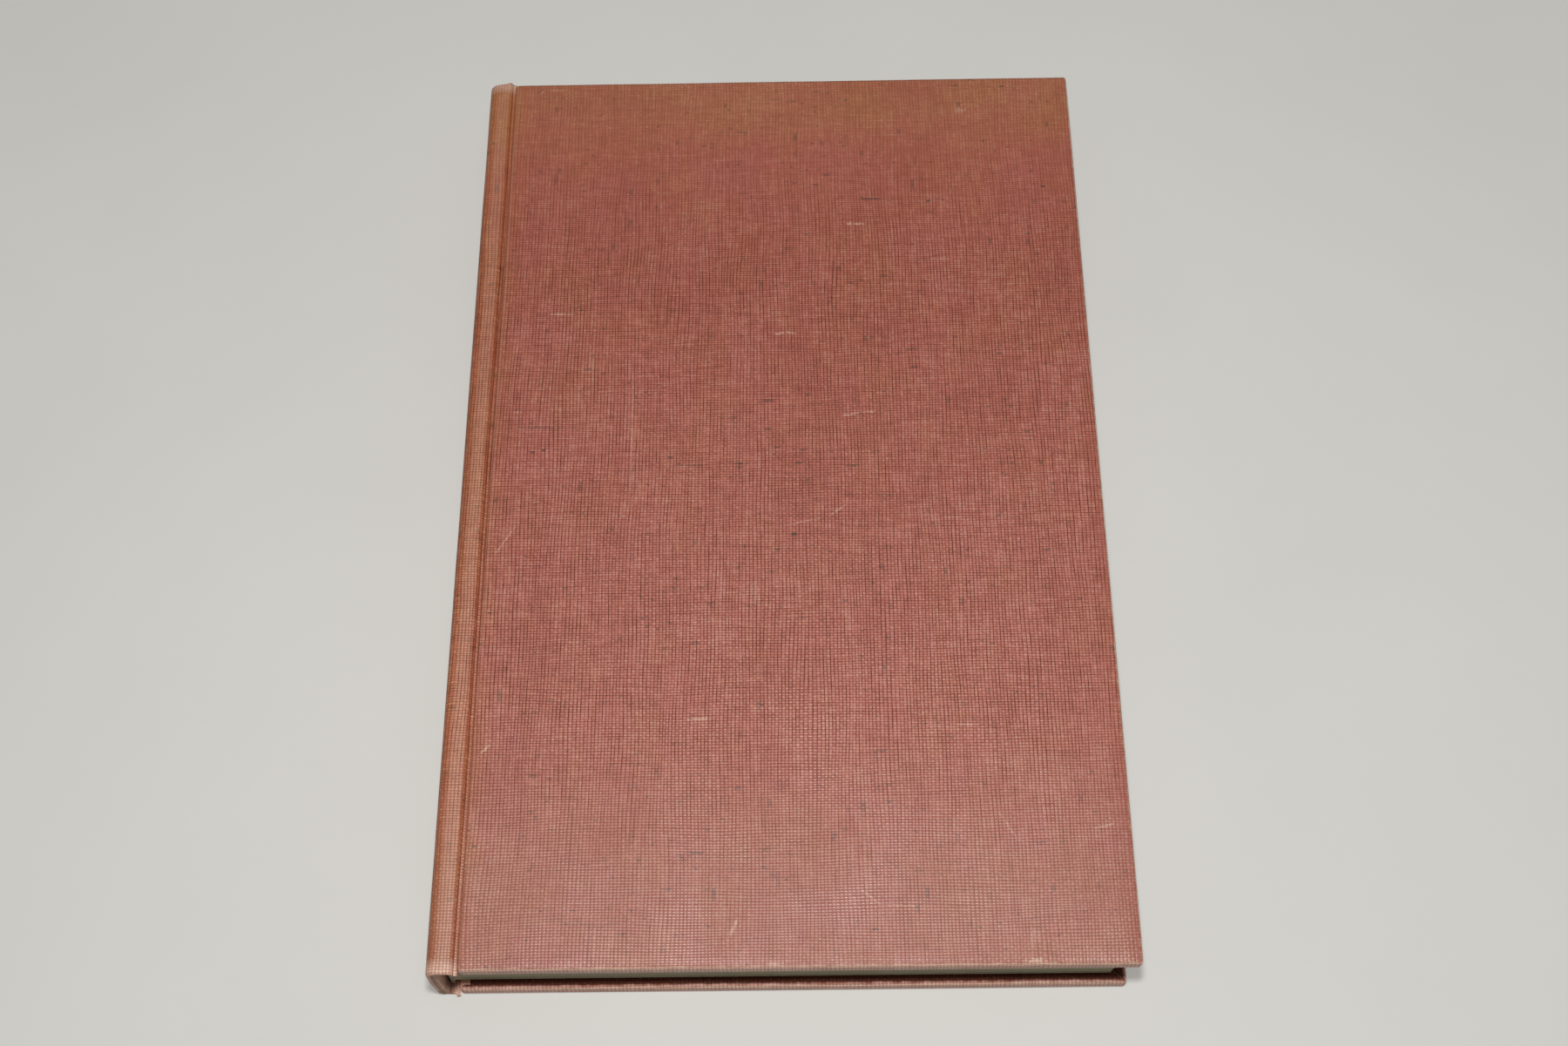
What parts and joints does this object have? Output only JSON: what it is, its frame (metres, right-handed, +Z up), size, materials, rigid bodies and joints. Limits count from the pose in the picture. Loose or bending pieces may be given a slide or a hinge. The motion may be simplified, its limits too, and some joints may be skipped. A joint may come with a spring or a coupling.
{
  "type": "hardback book",
  "caption": "Cloth-covered hardback book lying closed on its back cover, with covers that hinge open along a grooved joint.",
  "frame": {"origin": "centre of the closed book's outline, on the surface that its back cover lies on", "axes": "+X from the spine to the fore-edge, +Y from tail to head, +Z up through the front cover"},
  "size_m": [0.1324, 0.2082, 0.0163],
  "materials": {
    "cover_cloth": "plain-woven book cloth, faded and rubbed",
    "board": "bare greyboard",
    "inlay_card": "bare card",
    "endpaper": "uncoated paper, yellowed",
    "pages": "trimmed edges of uncoated paper, yellowed",
    "gauze": "open-weave gauze stiffened with glue",
    "kraft_paper": "plain brown paper"
  },
  "bodies": {
    "pages_and_spine": {"text_block": "pages", "front_flyleaf": "endpaper", "back_flyleaf": "endpaper", "mull": "gauze", "spine_lining": "kraft_paper", "spine_inlay": "inlay_card", "spine_cloth": "cover_cloth"},
    "front_cover": {"front_board": "board", "front_cloth": "cover_cloth", "front_pastedown": "endpaper"},
    "back_cover": {"back_board": "board", "back_cloth": "cover_cloth", "back_pastedown": "endpaper"}
  },
  "joints": [
    {"name": "front_joint", "type": "hinge", "parent": "pages_and_spine", "child": "front_cover", "pos_m": [-0.0604, 0, 0.0164], "axis": [0, -1, 0], "range_deg": [0, 180]},
    {"name": "back_joint", "type": "hinge", "parent": "pages_and_spine", "child": "back_cover", "pos_m": [-0.0618, 0, -0.0001], "axis": [0, 1, 0], "range_deg": [0, 180]}
  ]
}
